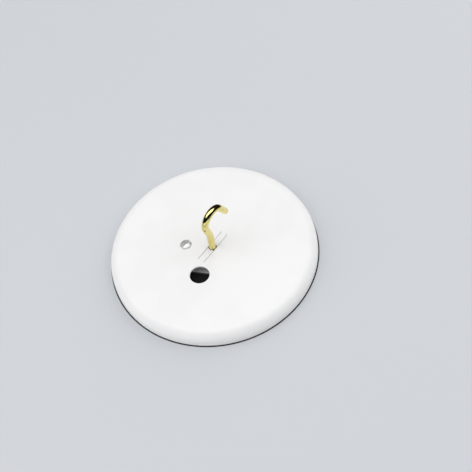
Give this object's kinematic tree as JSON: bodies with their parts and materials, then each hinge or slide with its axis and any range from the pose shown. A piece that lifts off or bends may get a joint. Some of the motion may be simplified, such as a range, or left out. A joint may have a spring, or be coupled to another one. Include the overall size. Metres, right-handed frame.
{
  "type": "ceiling box cover",
  "caption": "Round white plastic cover for a ceiling box, with a brass lamp hook, a cable hole, a cover screw and a slotted steel bridge strap behind it.",
  "frame": {"origin": "centre of the cover's rim, in the plane of the rim's back edge", "axes": "+Z out of the cover's face, the way the hook points and away from the ceiling; +X along the bridge strap, away from the cover screw"},
  "size_m": [0.105, 0.105, 0.0349],
  "materials": {
    "white_plastic": "satin moulded",
    "polished_brass": "brass plated and polished",
    "galvanised_steel": "galvanised sheet",
    "zinc_plated_steel": "bright zinc plated"
  },
  "bodies": {
    "root": {"cover": "white_plastic", "slot_insert_far": "white_plastic", "slot_insert_near": "white_plastic", "bridge_strap": "galvanised_steel", "hook": "polished_brass", "hook_nut": "zinc_plated_steel", "lock_washer": "zinc_plated_steel", "cover_screw": "zinc_plated_steel"}
  },
  "joints": []
}
